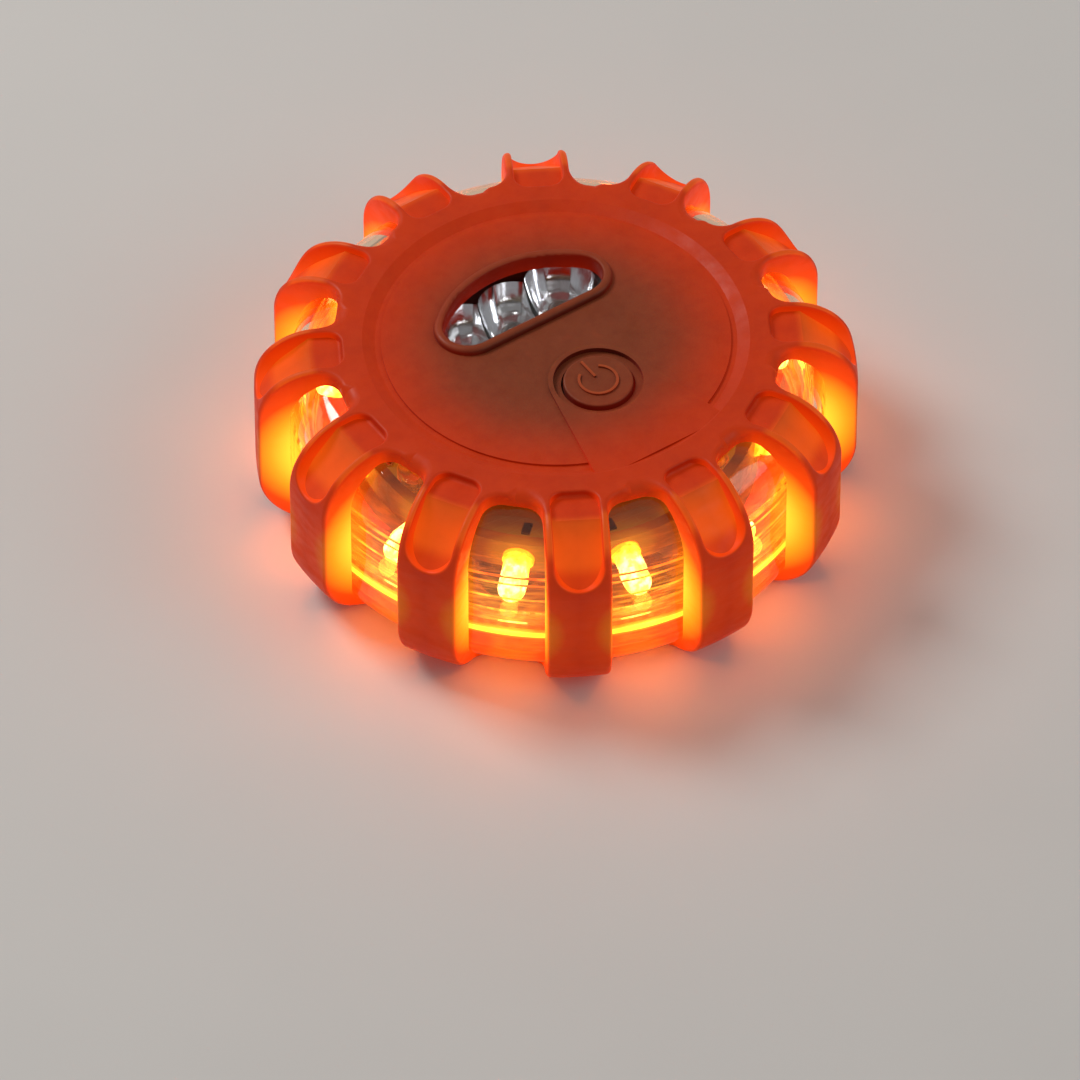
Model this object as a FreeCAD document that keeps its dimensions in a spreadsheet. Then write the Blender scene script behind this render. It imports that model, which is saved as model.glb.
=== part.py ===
import FreeCAD, Part
import math
import os
import Sketcher

# LED safety flare: a clear puck full of amber LEDs in a ribbed rubber jacket.
# +Z is up, the floor is z = 0, the button faces -Y and the lamp window +Y. Millimetres.

os.makedirs("parts", exist_ok=True)
doc = FreeCAD.newDocument("safety_flare")
V = FreeCAD.Vector

SIZES = {
    # clear puck
    "puck_r": 49.3, "puck_top": 35.9, "puck_shoulder": 9.4, "puck_floor": 2.6, "puck_heel": 3.8,
    "wall": 2.2, "split_z": 11.2, "floor_wall": 2.8, "tongue_high": 3.5, "tongue_t": 1.6,
    "tongue_gap": 0.15, "seal_t": 0.8, "seal_wide": 1.0, "seal_slack": 0.1,
    # rubber jacket, standing on and round the puck
    "rib_count": 12, "rib_stand": 5.7, "ring_skin": 2.8, "floor_skin": 2.25, "moat_skin": 1.85,
    "shoulder_r": 11.7, "heel_r": 11.5, "rib_width": 11.7, "window_set": 8.6,
    "window_corner": 4.0, "skirt_set": 4.1, "skirt_wide": 7.7, "skirt_corner": 2.5,
    "ring_roll": 2.4, "rib_edge": 0.9, "rib_root": 1.3, "rib_lap": 0.8, "ring_wide": 5.5,
    "bevel_wide": 2.3, "moat_wide": 1.1,
    "scoop_width": 8.8, "scoop_set": 10.3, "scoop_flat": 5.8, "scoop_deep": 1.5,
    "scoop_long": 9.9, "scoop_round": 0.7, "scoop_corner": 2.6, "scoop_step": 0.9,
    "scoop_edge": 0.5, "heel_channel": 0.7, "channel_r": 9.0,
    "wedge_r": 9.1, "wedge_skin": 2.7, "wedge_angle": 13.0, "wedge_bite": 1.61, "recess_r": 8.2,
    "recess_skin": 1.7,
    # lamp window
    "win_near": 5.9, "win_far": 20.1, "win_half": 16.7, "win_corner": 4.7, "lip_width": 1.7,
    "lip_skin": 3.5, "lip_out_edge": 0.9, "lip_in_edge": 0.5,
    # screws that join the puck
    "post_count": 6, "post_gap": 0.8, "post_r": 2.8, "post_foot": 14.0, "case_screw_r": 1.2,
    "case_screw_head_r": 2.2, "case_screw_head": 1.6, "case_screw_grip": 6.5, "screw_play": 0.15,
    "head_play": 0.2, "screw_slot": 0.7,
    # button and switch
    "button_y": -13.45, "button_r": 6.4, "button_gap": 0.35, "button_edge": 0.4, "press": 0.8,
    "flange_wide": 1.0, "flange_t": 0.8, "flange_gap": 0.3, "well_play": 0.6, "well_spare": 0.4,
    "well_wall": 1.8, "well_base": 2.2, "mark_r": 3.5, "mark_w": 0.5, "mark_h": 0.35,
    "mark_open": 35.0, "mark_bar_far": 5.4, "mark_bar_near": 1.0, "plunger_r": 1.8,
    "switch_tall": 9.5, "stem_r": 1.6, "stem_in": 1.5, "switch_side": 6.0, "switch_h": 3.5,
    "switch_base": 0.8,
    # board and what stands on it
    "board_t": 1.6, "board_fit": 0.2, "board_hole_gap": 0.3, "lead_t": 0.5, "lead_pitch": 2.54,
    "lead_on_board": 2.9, "lead_play": 0.25, "carrier_t": 2.3, "carrier_down": 2.0,
    "carrier_up": 4.2, "carrier_shelf": 1.2, "led_r": 2.5, "led_rim": 0.4, "led_rim_t": 1.0,
    "led_len": 8.7, "led_clear": 1.5, "chip_x": 8.6, "chip_y": 3.9, "chip_h": 1.5,
    "chip_lift": 0.2, "pin_w": 0.4, "pin_len": 1.0, "pin_h": 0.9, "chip_pin_pitch": 1.27,
    "resistor_r": 27.0, "resistor_len": 3.2, "resistor_w": 1.6, "resistor_h": 0.6,
    "can_x": 14.0, "can_y": -9.0, "can_r": 2.5, "can_h": 7.0, "board_screw_x": 21.0,
    "board_screw_len": 3.6, "small_head_r": 1.9, "small_head": 1.2, "small_slot": 0.6,
    # torch lamp
    "cup_pitch": 10.2, "cup_y": 13.5, "cup_rim_r": 6.8, "cup_hole_gap": 0.25, "cup_deep": 11.3,
    "cup_wall": 0.9, "cup_curve": 43.0, "plate_t": 1.0, "plate_grow": 1.6, "led_sink": 2.0,
    # batteries
    "cell_r": 5.25, "cell_len": 44.5, "nub_r": 1.9, "nub_len": 0.8, "cell_gap": 0.7,
    "cell_edge": 0.4, "bay_side": 0.95, "bay_wall": 1.2, "tray_gap": 0.3, "roof_gap": 0.3, "roof_t": 1.4,
    "contact_t": 0.4, "contact_half": 4.0, "contact_lift": 0.4, "spring_len": 3.9,
    "spring_r": 2.6, "spring_wire": 0.3, "spring_turns": 3,
    # door, magnet and hook under the puck
    "door_rim_x": 3.0, "door_rim_y": 3.8, "door_t": 1.4, "door_fit": 0.25, "door_seal_t": 0.5,
    "door_corner": 3.0, "door_screw_x": 13.0, "door_screw_in": 1.8, "door_screw_r": 0.95,
    "door_screw_len": 5.0, "door_head_r": 1.7, "door_head": 1.0, "door_slot": 0.5,
    "boss_wall": 0.9, "boss_high": 3.6, "magnet_r": 9.3, "magnet_low": 0.4, "magnet_gap": 0.05,
    "cup_ring_t": 1.0, "cup_ring_up": 0.3, "hook_set": 3.3, "hook_axis_z": 1.5, "hook_pin_r": 0.75,
    "hook_bore_play": 0.07, "hook_barrel_r": 1.2, "hook_barrel_half": 5.0, "hook_low": 0.7,
    "hook_t": 1.6, "hook_reach": 14.2, "hook_eye_r": 4.3, "hook_bar": 2.6, "hook_ear_t": 2.0,
    "hook_ear_half": 1.7, "hook_gap": 0.3, "hook_mouth": 5.0, "hook_mouth_low": 1.2,
}


class Size:
    """A size as a number and as the expression that FreeCAD keeps for it."""

    def __init__(self, value, text):
        self.value = float(value)
        self.text = text

    def __add__(self, o):
        o = size(o)
        return Size(self.value + o.value, f"({self.text} + {o.text})")

    def __sub__(self, o):
        o = size(o)
        return Size(self.value - o.value, f"({self.text} - {o.text})")

    def __mul__(self, o):
        o = size(o)
        return Size(self.value * o.value, f"({self.text} * {o.text})")

    def __truediv__(self, o):
        o = size(o)
        return Size(self.value / o.value, f"({self.text} / {o.text})")

    def __neg__(self):
        return Size(-self.value, f"(0 - {self.text})")

    __radd__ = __add__
    __rmul__ = __mul__

    def __rsub__(self, o):
        return size(o) - self

    def __rtruediv__(self, o):
        return size(o) / self


def size(x):
    return x if isinstance(x, Size) else Size(x, repr(float(x)))


def root(x):
    return Size(math.sqrt(x.value), f"sqrt({x.text})")


sheet = doc.addObject("Spreadsheet::Sheet", "Sizes")
for row, (name, value) in enumerate(SIZES.items(), 1):
    sheet.set(f"A{row}", name)
    sheet.set(f"B{row}", str(value))
    sheet.setAlias(f"B{row}", name)
doc.recompute()


class Named:
    """s.wall is the size called wall."""

    def __getattr__(self, name):
        return Size(SIZES[name], f"Sizes.{name}")


s = Named()
# what follows from them
s.outer_r = s.puck_r + s.rib_stand
s.ring_top = s.puck_top + s.ring_skin
s.floor_top = s.puck_top + s.floor_skin
s.moat_z = s.puck_top + s.moat_skin
s.wedge_top = s.puck_top + s.wedge_skin
s.recess_z = s.puck_top + s.recess_skin
s.lip_top = s.puck_top + s.lip_skin
s.button_top = s.wedge_top
s.window_r = s.puck_r - s.window_set
s.ring_in_r = s.window_r - s.ring_wide
s.moat_r = s.ring_in_r - s.bevel_wide
s.floor_r = s.moat_r - s.moat_wide
s.skirt_r = s.puck_r - s.skirt_set
s.skirt_in_r = s.skirt_r - s.skirt_wide
s.scoop_start_r = s.puck_r - s.scoop_set
s.scoop_break_r = s.scoop_start_r + s.scoop_flat
s.scoop_floor = s.ring_top - s.scoop_deep
s.scoop_tip = s.ring_top - s.scoop_long
s.tongue_top = s.split_z + s.tongue_high
s.led_rim_r = s.led_r + s.led_rim
s.carrier_r = s.puck_r - s.wall - s.led_clear - s.led_len
s.carrier_in_r = s.carrier_r - s.carrier_t
s.board_r = s.carrier_in_r - s.board_fit
s.post_ring = s.carrier_in_r - s.post_gap - s.post_r
s.lead_in_r = s.board_r - s.lead_on_board
s.cell_pitch = s.cell_r * 2 + s.cell_gap
s.bay_x = s.cell_len / 2 + s.contact_t + s.spring_len / 2
s.bay_y = s.cell_pitch + s.cell_r + s.bay_side
s.bay_roof = s.puck_floor + s.door_t + s.cell_r * 2 + s.roof_gap
s.board_z = s.bay_roof + s.roof_t
s.carrier_foot = s.board_z - s.carrier_down
s.carrier_top = s.board_z + s.board_t + s.carrier_up
s.case_screw_top = s.post_foot + s.case_screw_grip
s.flange_r = s.button_r + s.flange_wide
s.plunger_foot = s.board_z + s.board_t + s.switch_tall
s.stem_foot = s.board_z + s.board_t + s.switch_h - s.stem_in
s.cup_foot = s.puck_top - s.wall - s.cup_deep
s.cup_hole_r = s.led_r + s.cup_hole_gap
s.white_led_z = s.cup_foot - s.led_sink
s.door_x = s.bay_x + s.door_rim_x
s.door_y = s.bay_y + s.door_rim_y
s.door_screw_y = s.door_y - s.door_screw_in
s.hook_y = s.hook_set - s.skirt_in_r
s.hook_bore_r = s.hook_pin_r + s.hook_bore_play
s.hook_eye_y = s.hook_y + s.hook_reach


def bind(obj, prop, x):
    x = size(x)
    obj.setExpression(prop, x.text)


def origin(body, role):
    return next(o for o in body.Origin.OriginFeatures if o.Role == role)


def body(name):
    b = doc.addObject("PartDesign::Body", name)
    b.Label = name
    return b


def arc_about(p, q, radius, side):
    """Centre of the short arc from p to q. side is 1 with the centre to the left."""
    dx, dy = q[0] - p[0], q[1] - p[1]
    chord = math.hypot(dx, dy)
    rise = math.sqrt(max(radius * radius - chord * chord / 4, 0))
    return ((p[0] + q[0]) / 2 - side * dy / chord * rise,
            (p[1] + q[1]) / 2 + side * dx / chord * rise)


def draw(sk, loop):
    """A closed loop. Each corner is (x, y), or (x, y, radius, side) if an arc follows it."""
    first = sk.GeometryCount
    spots = [(size(c[0]), size(c[1])) for c in loop]
    xy = [(x.value, y.value) for x, y in spots]
    ends = []
    for i, c in enumerate(loop):
        p, q = xy[i], xy[(i + 1) % len(loop)]
        if len(c) == 2:
            sk.addGeometry(Part.LineSegment(V(*p, 0), V(*q, 0)), False)
            ends.append((1, 2))
            continue
        radius, side = size(c[2]), c[3]
        cx, cy = arc_about(p, q, radius.value, side)
        a = math.atan2(p[1] - cy, p[0] - cx)
        b = math.atan2(q[1] - cy, q[0] - cx)
        if side < 0:
            a, b = b, a
        if b < a:
            b += 2 * math.pi
        circle = Part.Circle(V(cx, cy, 0), V(0, 0, 1), radius.value)
        g = sk.addGeometry(Part.ArcOfCircle(circle, a, b), False)
        ends.append((1, 2) if side > 0 else (2, 1))
        k = sk.addConstraint(Sketcher.Constraint("Radius", g, radius.value))
        bind(sk, f"Constraints[{k}]", radius)
    for i, (x, y) in enumerate(spots):
        g, start = first + i, ends[i][0]
        before = first + (i - 1) % len(loop)
        sk.addConstraint(Sketcher.Constraint("Coincident", before, ends[i - 1][1], g, start))
        for kind, axis, v in (("DistanceX", -2, x), ("DistanceY", -1, y)):
            if abs(v.value) < 1e-9:
                sk.addConstraint(Sketcher.Constraint("PointOnObject", g, start, axis))
                continue
            k = sk.addConstraint(Sketcher.Constraint(kind, -1, 1, g, start, v.value))
            bind(sk, f"Constraints[{k}]", v)


def ring(sk, x, y, radius):
    """A circle."""
    x, y, radius = size(x), size(y), size(radius)
    g = sk.addGeometry(Part.Circle(V(x.value, y.value, 0), V(0, 0, 1), radius.value), False)
    k = sk.addConstraint(Sketcher.Constraint("Radius", g, radius.value))
    bind(sk, f"Constraints[{k}]", radius)
    for kind, axis, v in (("DistanceX", -2, x), ("DistanceY", -1, y)):
        if abs(v.value) < 1e-9:
            sk.addConstraint(Sketcher.Constraint("PointOnObject", g, 3, axis))
            continue
        k = sk.addConstraint(Sketcher.Constraint(kind, -1, 1, g, 3, v.value))
        bind(sk, f"Constraints[{k}]", v)


def sketch(b, plane, loops, off=(0, 0, 0)):
    """A sketch on one of the body's planes, moved by off in the plane's own axes."""
    sk = b.newObject("Sketcher::SketchObject", b.Name + "_outline")
    sk.AttachmentSupport = [(origin(b, plane), "")]
    sk.MapMode = "FlatFace"
    off = [size(v) for v in off]
    sk.AttachmentOffset = FreeCAD.Placement(V(*[v.value for v in off]), FreeCAD.Rotation())
    for axis, v in zip("xyz", off):
        if v.value:
            bind(sk, f"AttachmentOffset.Base.{axis}", v)
    for loop in loops:
        if loop[0] == "ring":
            ring(sk, *loop[1:])
        else:
            draw(sk, loop)
    return sk


def box(x0, y0, x1, y1):
    return [(x0, y0), (x1, y0), (x1, y1), (x0, y1)]


def round_box(hx, hy, r):
    """A rectangle about the origin with round corners."""
    return [(hx - r, -hy, r, 1), (hx, r - hy), (hx, hy - r, r, 1), (hx - r, hy),
            (r - hx, hy, r, 1), (-hx, hy - r), (-hx, r - hy, r, 1), (r - hx, -hy)]


def pad(b, loops, low, high, plane="XY_Plane", off=(0, 0), middle=False):
    """Material from low to high along the plane's normal."""
    low, high = size(low), size(high)
    f = b.newObject("PartDesign::Pad", b.Name + "_pad")
    start = 0 if middle else low
    f.Profile = sketch(b, plane, loops, (*off, start))
    bind(f, "Length", high - low)
    f.Midplane = middle
    return f


def cut(b, loops, low, high, plane="XY_Plane", off=(0, 0), middle=False):
    """A pocket from high down to low along the plane's normal."""
    low, high = size(low), size(high)
    f = b.newObject("PartDesign::Pocket", b.Name + "_pocket")
    f.Profile = sketch(b, plane, loops, (*off, 0 if middle else high))
    bind(f, "Length", high - low)
    f.Midplane = middle
    return f


def turn(b, loop, off=(0, 0), depth=0, kind="Revolution", angle=360, plane="XZ_Plane"):
    """A turned shape. The axis is the sketch's own upright one."""
    f = b.newObject("PartDesign::" + kind, b.Name + "_turned")
    sk = sketch(b, plane, [loop], (*off, depth))
    f.Profile = sk
    f.ReferenceAxis = (sk, ["V_Axis"])
    f.Angle = 360
    if angle != 360:
        bind(f, "Angle", angle)
        f.Midplane = True
    return f


def around(b, features, count):
    """The features repeated in a circle about Z."""
    f = b.newObject("PartDesign::PolarPattern", b.Name + "_around")
    f.Originals = features
    f.Axis = (origin(b, "Z_Axis"), [""])
    f.Angle = 360
    bind(f, "Occurrences", count)
    b.Tip = f
    return f


def along(b, features, count, length, axis="X_Axis"):
    """The features repeated along an axis, from first to last over that length."""
    f = b.newObject("PartDesign::LinearPattern", b.Name + "_along")
    f.Originals = features
    f.Direction = (origin(b, axis), [""])
    bind(f, "Length", length)
    f.Occurrences = count
    b.Tip = f
    return f


def copies(name, source, spots):
    """One node of several separate copies. Each spot is (x, y, z, turn about Z in degrees)."""
    links = []
    for x, y, z, a in spots:
        link = doc.addObject("App::Link", name + "_copy")
        link.LinkedObject = source
        link.LinkTransform = True
        spin = FreeCAD.Rotation(V(0, 0, 1), a)
        link.Placement = FreeCAD.Placement(V(x, y, z), spin)
        links.append(link)
    c = doc.addObject("Part::Compound", name)
    c.Label = name
    c.Links = links
    return c


def d_shape(grow=0):
    """The lamp window's outline: straight near side, long curved far side, round ends."""
    near, far = s.win_near - grow, s.win_far + grow
    half, corner = s.win_half + grow, s.win_corner + grow
    span = half - corner
    fall = far - near - corner
    curve = (span * span + fall * fall - corner * corner) / (2 * (fall - corner))
    middle = far - curve
    up = near + corner - middle
    reach = root(span * span + up * up)
    tx, ty = span * curve / reach, middle + up * curve / reach
    # round end, split at its outermost point
    return [(-span, near), (span, near, corner, 1), (half, near + corner, corner, 1),
            (tx, ty, curve, 1), (0, far, curve, 1), (-tx, ty, corner, 1),
            (-half, near + corner, corner, 1)]


made = {}


def keep(obj):
    made[obj.Label] = obj
    return obj


puck_x = s.puck_r - s.puck_shoulder
puck_z = s.puck_top - s.puck_shoulder
lens_under = s.puck_top - s.wall
lens_in = s.puck_r - s.wall
base_top = s.puck_floor + s.floor_wall
tongue_r = lens_in - s.tongue_gap
board_top = s.board_z + s.board_t
led_z = board_top + s.lead_t / 2
half_pitch = 180.0 / SIZES["rib_count"]

# ---------------------------------------------------------------- rubber jacket
# One rib with half a window on each side, then the same all round, then the top skin.
rib_x = s.outer_r - s.shoulder_r
rib_z = s.ring_top - s.shoulder_r
inner_r = s.ring_in_r + s.rib_root
heel_x = s.outer_r - s.heel_r
rib = body("rib")
turn(rib, [
    (inner_r, s.puck_top), (puck_x, s.puck_top, s.puck_shoulder, -1), (s.puck_r, puck_z),
    (s.puck_r, s.puck_floor + s.puck_heel, s.puck_heel, -1),
    (s.puck_r - s.puck_heel, s.puck_floor), (s.skirt_in_r, s.puck_floor), (s.skirt_in_r, 0),
    (heel_x, 0, s.heel_r, 1), (s.outer_r, s.heel_r), (s.outer_r, rib_z, s.shoulder_r, 1),
    (rib_x, s.ring_top), (inner_r, s.ring_top)], angle=360 / s.rib_count)


def gap(edge, corner, side):
    """Outline of half a window, beside the rib on the given side."""
    y = s.rib_width / 2
    cy = y + corner
    reach = edge + corner
    cx = root(reach * reach - cy * cy)
    tx, ty = cx * edge / reach, cy * edge / reach
    far = math.radians(half_pitch + 2)
    far_x, far_y = edge * math.cos(far), edge * math.sin(far)
    out = s.outer_r + 20
    slope = math.tan(far)
    if side > 0:
        return [(cx, y), (out, y), (out, out * slope), (far_x, far_y, edge, -1), (tx, ty, corner, 1)]
    return [(cx, -y, corner, 1), (tx, -ty, edge, -1), (far_x, -far_y), (out, -(out * slope)),
            (out, -y)]


cut(rib, [gap(s.window_r, s.window_corner, 1), gap(s.window_r, s.window_corner, -1)],
    s.puck_floor, s.ring_top + 5)
cut(rib, [gap(s.skirt_r, s.skirt_corner, 1), gap(s.skirt_r, s.skirt_corner, -1)],
    -5, s.puck_floor)


def block(name, plane, loops, low, high, off=(0, 0), middle=False):
    b = body(name)
    pad(b, loops, low, high, plane, off, middle)
    return b


# The scoop is what three outlines share: seen from the side, from above and from outside.
top = s.ring_top + 6
drop = s.scoop_floor - (s.scoop_tip - s.scoop_step)
run = s.outer_r - s.scoop_break_r
low_z = s.scoop_floor - drop * 1.3
low_x = s.scoop_break_r + run * 1.3
half_scoop = s.scoop_width / 2
round_x = s.scoop_start_r + s.scoop_round
side_view = block("scoop_side", "XZ_Plane", [[
    (s.scoop_start_r, s.scoop_floor + s.scoop_round, s.scoop_round, 1), (round_x, s.scoop_floor),
    (s.scoop_break_r, s.scoop_floor), (low_x, low_z), (low_x, top), (s.scoop_start_r, top)]],
    0, s.scoop_width, middle=True)
c = s.scoop_corner
plan_view = block("scoop_plan", "XY_Plane", [[
    (s.outer_r + 5, -half_scoop), (s.outer_r + 5, half_scoop),
    (s.scoop_start_r + c, half_scoop, c, 1), (s.scoop_start_r, half_scoop - c),
    (s.scoop_start_r, c - half_scoop, c, 1), (s.scoop_start_r + c, -half_scoop)]],
    s.scoop_tip - 3, top)
front_view = block("scoop_front", "YZ_Plane", [[
    (0, s.scoop_tip, half_scoop, 1), (half_scoop, s.scoop_tip + half_scoop), (half_scoop, top),
    (-half_scoop, top), (-half_scoop, s.scoop_tip + half_scoop, half_scoop, 1)]],
    s.scoop_start_r - 2, s.outer_r + 5)
doc.recompute()
scoop = doc.addObject("Part::MultiCommon", "scoop")
scoop.Shapes = [side_view, plan_view, front_view]
channel = doc.addObject("Part::Cylinder", "heel_channel")
bind(channel, "Radius", s.channel_r)
bind(channel, "Height", s.outer_r)
channel.Placement = FreeCAD.Placement(V(0, 0, 0), FreeCAD.Rotation(V(0, 1, 0), 90))
bind(channel, "Placement.Base.x", s.skirt_in_r - 5)
bind(channel, "Placement.Base.z", s.heel_channel - s.channel_r)
rib_cut = doc.addObject("Part::Cut", "rib_cut")
tools = doc.addObject("Part::MultiFuse", "rib_tools")
tools.Shapes = [scoop, channel]
rib_cut.Base = rib
rib_cut.Tool = tools
doc.recompute()


def middle_of(e):
    return e.valueAt((e.FirstParameter + e.LastParameter) / 2)


def rib_edges(shape):
    """Edges to round, each with its radius at both ends: the windows' and the scoop's."""
    window, inside = [], []
    big, small = SIZES["ring_roll"], SIZES["rib_edge"]
    wx, wz = rib_x.value, rib_z.value
    y = SIZES["rib_width"] / 2
    for i, e in enumerate(shape.Edges, 1):
        b, m = e.BoundBox, middle_of(e)
        r = math.hypot(m.x, m.y)
        high = b.ZMin > s.ring_top.value - 0.1
        if high and abs(r - s.window_r.value) < 0.03 and abs(m.y) > y + 2:
            window.append((i, big, big))
        elif high and r > s.window_r.value + 0.02 and e.Length > 3 and abs(m.y) > y + 0.1:
            starts_at_ring = abs(e.valueAt(e.FirstParameter).y) > abs(e.valueAt(e.LastParameter).y)
            window.append((i, big, small) if starts_at_ring else (i, small, big))
        elif abs(abs(m.y) - y) < 0.04 and b.ZMin > SIZES["puck_floor"] - 0.1 and (
                high or r > SIZES["puck_r"] + 0.3):
            window.append((i, small, small))
        elif abs(m.y) < half_scoop.value + 0.01 and m.x > s.scoop_start_r.value - 0.1:
            on_skin = abs(math.hypot(r - wx, m.z - wz) - SIZES["shoulder_r"]) < 0.02 and r > wx
            flat = b.ZMin > s.ring_top.value - 0.01
            face = abs(r - s.outer_r.value) < 0.02
            if (flat or on_skin or face) and m.z > s.scoop_tip.value - 0.1:
                inside.append((i, SIZES["scoop_edge"], SIZES["scoop_edge"]))
    return window, inside


rounded = doc.addObject("Part::Fillet", "rib_rounded")
rounded.Base = rib_cut
rounded.Edges = rib_edges(rib_cut.Shape)[0]
doc.recompute()
soft = doc.addObject("Part::Fillet", "rib_soft")
soft.Base = rounded
soft.Edges = rib_edges(rounded.Shape)[1]
doc.recompute()

parts_of_jacket = [soft]
for k in range(1, SIZES["rib_count"]):
    link = doc.addObject("App::Link", "rib_copy")
    link.LinkedObject = soft
    link.LinkTransform = True
    link.Placement = FreeCAD.Placement(V(0, 0, 0), FreeCAD.Rotation(V(0, 0, 1), 2 * half_pitch * k))
    parts_of_jacket.append(link)

skin = body("jacket_skin")
turn(skin, [
    (0, s.puck_top), (inner_r + s.rib_lap, s.puck_top), (inner_r + s.rib_lap, s.ring_top),
    (s.ring_in_r, s.ring_top), (s.moat_r, s.moat_z), (s.floor_r, s.moat_z),
    (s.floor_r, s.floor_top), (0, s.floor_top)])
# raised field round the button, open towards the ring
lean = math.radians(SIZES["wedge_angle"])
tx, ty = s.wedge_r * math.cos(lean), s.button_y + s.wedge_r * math.sin(lean)
dx, dy = math.sin(lean), -math.cos(lean)
edge = s.ring_in_r + s.wedge_bite
dot = tx * dx + ty * dy
reach = root(dot * dot - tx * tx - ty * ty + edge * edge) - dot
px, py = tx + reach * dx, ty + reach * dy
pad(skin, [[(px, py), (tx, ty, s.wedge_r, 1), (0, s.button_y + s.wedge_r, s.wedge_r, 1),
            (-tx, ty), (-px, py)]], s.moat_z - 0.5, s.wedge_top)
pad(skin, [d_shape(s.lip_width)], s.puck_top + 1, s.lip_top)
doc.recompute()


def soften(b, level, radius):
    """Rounds every edge of the body that lies at that height."""
    edges = [f"Edge{i}" for i, e in enumerate(b.Shape.Edges, 1)
             if abs(e.BoundBox.ZMin - level.value) < 1e-4 and e.BoundBox.ZLength < 1e-4]
    before = b.Tip
    f = b.newObject("PartDesign::Fillet", b.Name + "_soft")
    f.Base = (before, edges)
    bind(f, "Radius", radius)
    b.Tip = f
    doc.recompute()
    return f


soften(skin, s.lip_top, s.lip_out_edge)
cut(skin, [d_shape()], s.puck_top - 1, s.lip_top + 1)
doc.recompute()
soften(skin, s.lip_top, s.lip_in_edge)
cut(skin, [["ring", 0, s.button_y, s.recess_r]], s.recess_z, s.lip_top)
cut(skin, [["ring", 0, s.button_y, s.button_r + s.button_gap]], s.puck_top - 1, s.lip_top)
jacket = doc.addObject("Part::MultiFuse", "rubber_jacket")
jacket.Label = "rubber_jacket"
jacket.Shapes = [skin] + parts_of_jacket
jacket.Refine = False
doc.recompute()
keep(jacket)

# ---------------------------------------------------------------- clear puck
lens = keep(body("lens_shell"))
turn(lens, [
    (0, lens_under), (puck_x, lens_under, s.puck_shoulder - s.wall, -1), (lens_in, puck_z),
    (lens_in, s.split_z), (s.puck_r, s.split_z), (s.puck_r, puck_z, s.puck_shoulder, 1),
    (puck_x, s.puck_top), (0, s.puck_top)])
flange_low = s.puck_top - s.flange_gap - s.flange_t
well_floor = flange_low - s.press - s.well_spare
pad(lens, [["ring", 0, s.button_y, s.flange_r + s.well_play + s.well_wall]],
    well_floor - s.well_base, lens_under + 0.5)
cut(lens, [["ring", 0, s.button_y, s.flange_r + s.well_play]], well_floor, s.puck_top)
cut(lens, [["ring", 0, s.button_y, s.plunger_r + s.button_gap]], well_floor - 5, s.puck_top)
post = pad(lens, [["ring", s.post_ring, 0, s.post_r]], s.post_foot, lens_under + 0.5)
pilot = cut(lens, [["ring", s.post_ring, 0, s.case_screw_r]], s.post_foot, s.case_screw_top + 1)
around(lens, [post, pilot], s.post_count)

base = keep(body("base_shell"))
seal_low = s.split_z + s.seal_t
seal_high = seal_low + s.seal_wide + s.seal_slack * 2
turn(base, [
    (0, s.puck_floor), (s.puck_r - s.puck_heel, s.puck_floor, s.puck_heel, 1),
    (s.puck_r, s.puck_floor + s.puck_heel), (s.puck_r, s.split_z), (tongue_r, s.split_z),
    (tongue_r, seal_low), (tongue_r - s.seal_t, seal_low), (tongue_r - s.seal_t, seal_high),
    (tongue_r, seal_high), (tongue_r, s.tongue_top), (tongue_r - s.tongue_t, s.tongue_top),
    (tongue_r - s.tongue_t, base_top), (0, base_top)])
boss = pad(base, [["ring", s.post_ring, 0, s.post_r]], base_top - 0.5, s.post_foot)
head_top = s.puck_floor + s.head_play + s.case_screw_head
sink = cut(base, [["ring", s.post_ring, 0, s.case_screw_head_r + s.head_play]], s.puck_floor - 1, head_top)
bore = cut(base, [["ring", s.post_ring, 0, s.case_screw_r + s.screw_play]], s.puck_floor, s.post_foot + 1)
around(base, [boss, sink, bore], s.post_count)
door_top = s.puck_floor + s.door_t
ledge = door_top + s.door_seal_t
cut(base, [round_box(s.door_x, s.door_y, s.door_corner)], s.puck_floor - 1, ledge)
cut(base, [box(-s.bay_x, -s.bay_y, s.bay_x, s.bay_y)], s.puck_floor - 1, base_top + 1)
door_spots = [(s.door_screw_x, -s.door_screw_y), (-s.door_screw_x, s.door_screw_y)]


def door_rings(radius):
    return [["ring", x, y, radius] for x, y in door_spots]


pad(base, door_rings(s.door_screw_r + s.boss_wall), base_top - 0.2, base_top + s.boss_high)
cut(base, door_rings(s.door_screw_r), ledge - 0.5, base_top + s.boss_high - 0.6)
# ears that carry the hook's pin, and the hollow its barrel turns in
ear_in = s.hook_barrel_half + s.hook_gap
ear_out = ear_in + s.hook_ear_t
ear_low = s.hook_axis_z - s.hook_barrel_r
for a, b in ((ear_in, ear_out), (-ear_out, -ear_in)):
    pad(base, [box(a, s.hook_y - s.hook_ear_half, b, s.hook_y + s.hook_ear_half)],
        ear_low, s.puck_floor + 0.5)
cut(base, [["ring", s.hook_y, s.hook_axis_z, s.hook_barrel_r + s.hook_gap]],
    -ear_in, ear_in, plane="YZ_Plane")
cut(base, [["ring", s.hook_y, s.hook_axis_z, s.hook_pin_r]], -ear_out - 1, ear_out + 1,
    plane="YZ_Plane")

seal = keep(body("case_seal"))
turn(seal, box(tongue_r - s.seal_t, seal_low + s.seal_slack, lens_in, seal_high - s.seal_slack))


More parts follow.
